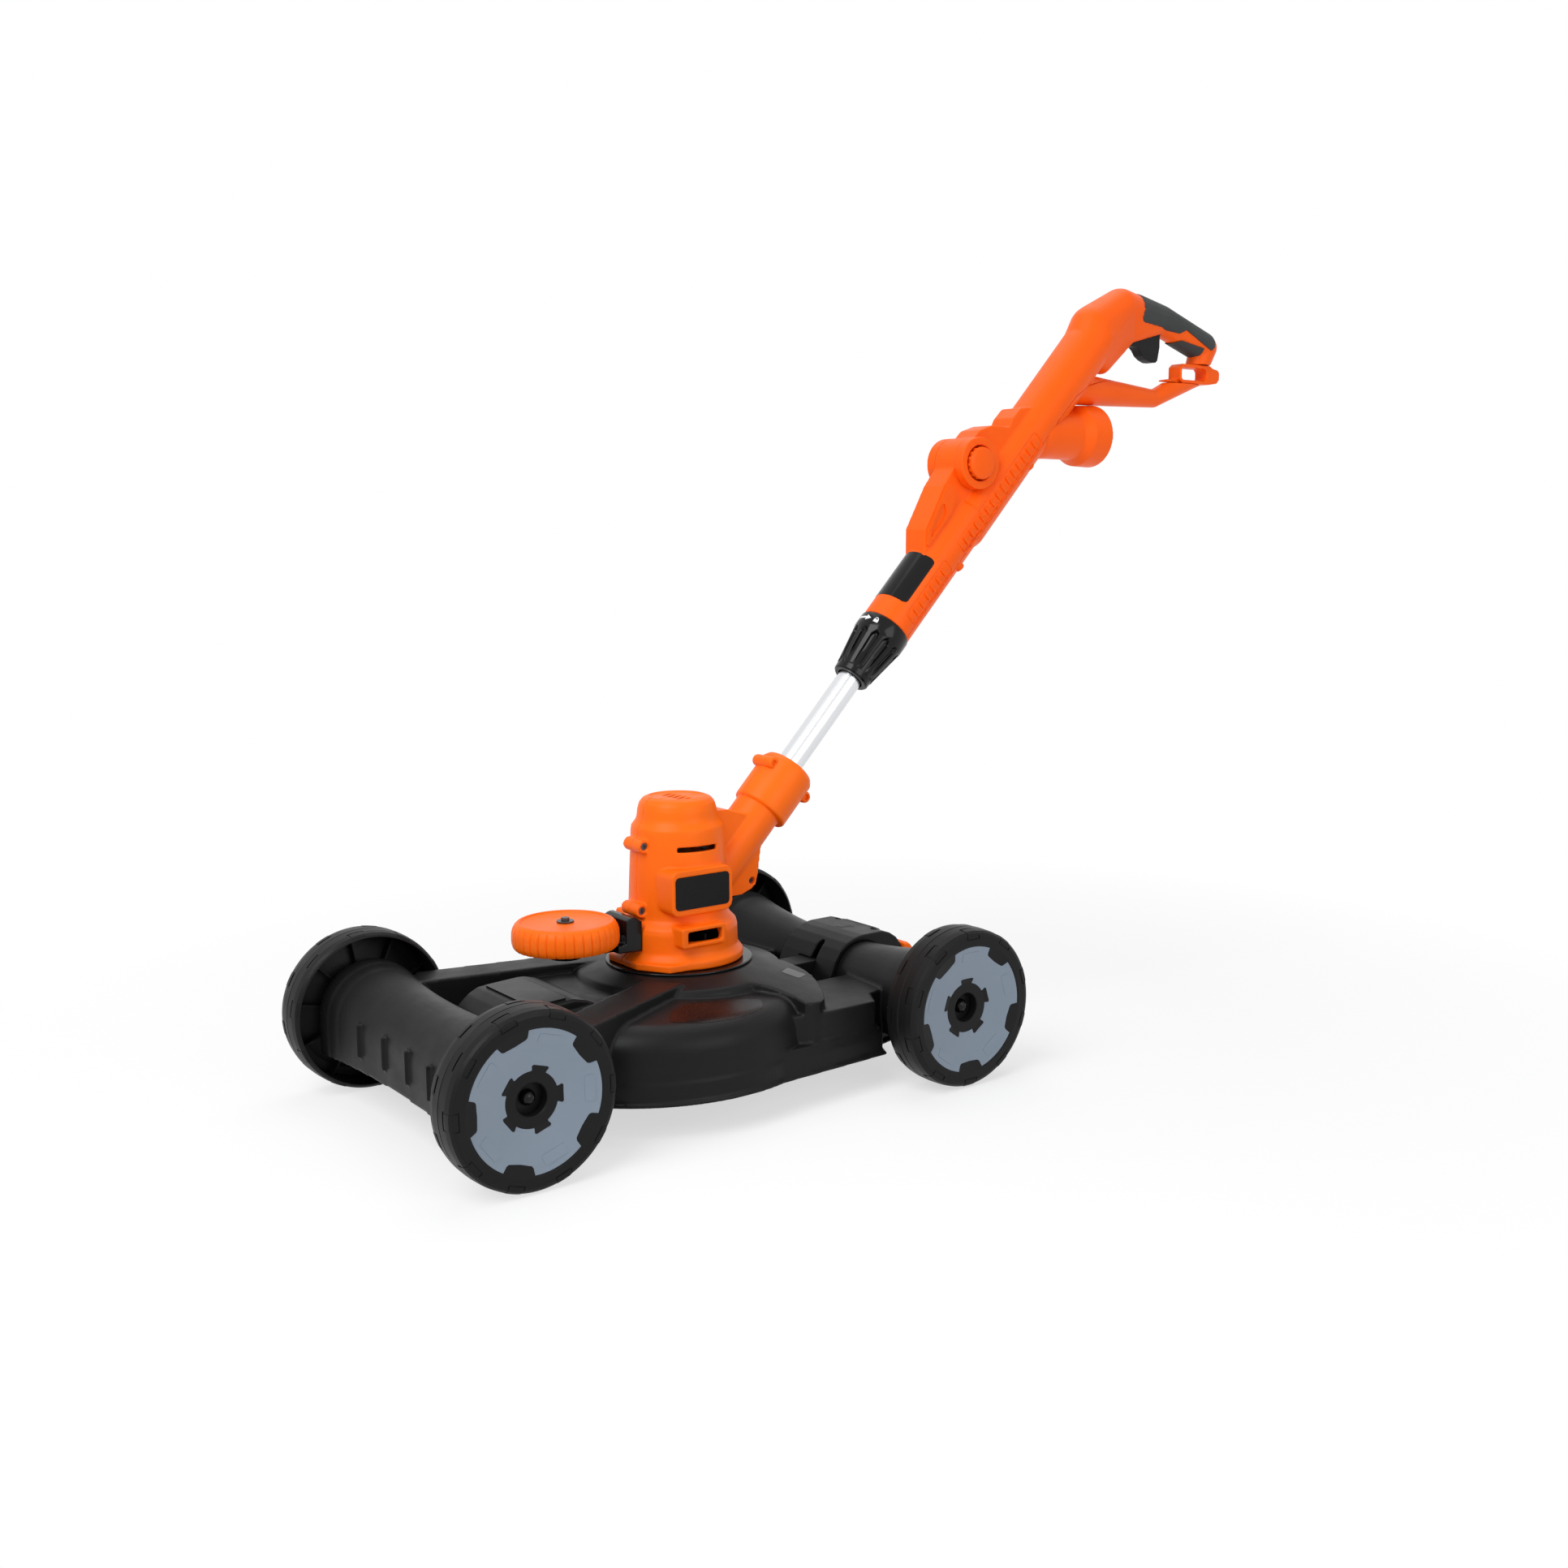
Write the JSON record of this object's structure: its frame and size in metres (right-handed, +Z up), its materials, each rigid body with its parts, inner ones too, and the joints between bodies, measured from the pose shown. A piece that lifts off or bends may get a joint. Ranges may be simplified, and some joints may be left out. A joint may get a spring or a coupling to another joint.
{
  "type": "wheeled string trimmer",
  "caption": "Corded string trimmer docked on a low wheeled mowing deck, with a tilted telescopic pole, a D handle with trigger, an edge guide wheel and a foot release pedal.",
  "frame": {"origin": "on the ground, under the middle of the whole tool", "axes": "+Z up, the tool rolls along Y with its front at -Y, X runs across along the axles"},
  "size_m": [0.4104, 1.1042, 0.7901],
  "materials": {
    "deck_black": "fine-grained moulded plastic",
    "wheel_black": "satin moulded plastic",
    "disc_grey": "satin moulded plastic",
    "orange": "satin moulded plastic",
    "trim_black": "gloss moulded plastic",
    "soft_grey": "soft-touch overmould",
    "inner_black": "plain",
    "tube_metal": "satin drawn tube",
    "steel": "bright steel",
    "dark_steel": "blackened steel",
    "winding": "copper winding and laminations",
    "line": "nylon line"
  },
  "bodies": {
    "deck": {"deck_shell": "deck_black", "dock_ring": "trim_black", "pedal_cover": "deck_black", "cover_screws": "dark_steel", "deck_plate": "trim_black", "front_axle": "steel", "rear_axle": "steel", "axle_caps": "wheel_black", "pedal_pin": "steel", "pedal_spring": "steel"},
    "wheel_front_right": {"wheel_fr": "wheel_black", "disc_fr": "disc_grey"},
    "wheel_front_left": {"wheel_fl": "wheel_black", "disc_fl": "disc_grey"},
    "wheel_rear_right": {"wheel_rr": "wheel_black", "disc_rr": "disc_grey"},
    "wheel_rear_left": {"wheel_rl": "wheel_black", "disc_rl": "disc_grey"},
    "pedal": {"release_pedal": "orange"},
    "latch": {"latch_bar": "inner_black", "latch_ends": "inner_black"},
    "trimmer": {"head_right": "orange", "head_left": "orange", "head_screws": "dark_steel", "badge_plates": "trim_black", "neck_bush": "inner_black", "stator": "steel", "brush_gear": "winding", "bearings": "steel", "guide_bracket": "trim_black", "guide_screw": "dark_steel", "bracket_screws": "dark_steel"},
    "cutting_head": {"armature": "winding", "fan": "inner_black", "spool_housing": "inner_black", "spool": "orange", "wound_line": "line", "line_ends": "line", "spool_cap": "orange"},
    "edge_wheel": {"guide_wheel": "orange"},
    "pole": {"pole_tube": "tube_metal"},
    "handle": {"tube_sleeve": "inner_black", "handle_upper": "orange", "handle_lower": "orange", "handle_screws": "dark_steel", "grip_pad": "soft_grey", "grip_insert": "soft_grey", "hub_rings": "orange", "hub_spring": "steel", "trigger_pin": "steel", "switch_box": "inner_black", "plug_shroud": "orange", "plug_inlet": "inner_black", "cord_retainer": "orange"},
    "lock": {"lock_collar": "trim_black", "lock_seal": "trim_black"},
    "button": {"hub_button": "orange"},
    "trigger_lever": {"trigger": "inner_black"}
  },
  "joints": [
    {"name": "wheel_front_right_spin", "type": "hinge", "parent": "deck", "child": "wheel_front_right", "pos_m": [0.1591, -0.4759, 0.0762], "axis": [1, 0, 0], "continuous": true},
    {"name": "wheel_front_left_spin", "type": "hinge", "parent": "deck", "child": "wheel_front_left", "pos_m": [-0.1591, -0.4759, 0.0762], "axis": [1, 0, 0], "continuous": true},
    {"name": "wheel_rear_right_spin", "type": "hinge", "parent": "deck", "child": "wheel_rear_right", "pos_m": [0.1857, -0.0279, 0.0762], "axis": [1, 0, 0], "continuous": true},
    {"name": "wheel_rear_left_spin", "type": "hinge", "parent": "deck", "child": "wheel_rear_left", "pos_m": [-0.1857, -0.0279, 0.0762], "axis": [1, 0, 0], "continuous": true},
    {"name": "pedal_press", "type": "hinge", "parent": "deck", "child": "pedal", "pos_m": [0, -0.0109, 0.072], "axis": [-1, 0, 0], "range_deg": [0, 13.75], "stiffness_Nm_per_rad": 2, "springref_deg": -11.46},
    {"name": "latch_slide", "type": "slide", "parent": "deck", "child": "latch", "axis": [0, 1, 0], "range_m": [0, 0.003]},
    {"name": "trimmer_lift", "type": "slide", "parent": "deck", "child": "trimmer", "axis": [0, 0, 1], "range_m": [0, 0.02]},
    {"name": "cutter_spin", "type": "hinge", "parent": "trimmer", "child": "cutting_head", "pos_m": [0, -0.2219, 0.087], "axis": [0, 0, 1], "continuous": true},
    {"name": "edge_wheel_spin", "type": "hinge", "parent": "trimmer", "child": "edge_wheel", "pos_m": [0, -0.3459, 0.1585], "axis": [0, 0, 1], "continuous": true},
    {"name": "pole_twist", "type": "hinge", "parent": "trimmer", "child": "pole", "pos_m": [0, -0.0862, 0.2926], "axis": [0, 0.6928, 0.7212], "range_deg": [0, 180]},
    {"name": "handle_slide", "type": "slide", "parent": "pole", "child": "handle", "axis": [0, 0.6928, 0.7212], "range_m": [-0.09, 0.1]},
    {"name": "lock_twist", "type": "hinge", "parent": "handle", "child": "lock", "pos_m": [0, 0.0146, 0.39753], "axis": [0, 0.6928, 0.7212], "range_deg": [0, 75]},
    {"name": "button_press", "type": "slide", "parent": "handle", "child": "button", "axis": [-1, 0, 0], "range_m": [0, 0.004], "stiffness_N_per_m": 600, "springref_m": -0.003, "deforming": ["hub_spring"]},
    {"name": "trigger_squeeze", "type": "hinge", "parent": "handle", "child": "trigger_lever", "pos_m": [0, 0.3991, 0.748], "axis": [1, 0, 0], "range_deg": [0, 8], "stiffness_Nm_per_rad": 1.2, "springref_deg": -20.05}
  ],
  "couplings": [
    {"joint": "latch_slide", "follows": "pedal_press", "m_per_rad": 0.0119}
  ]
}
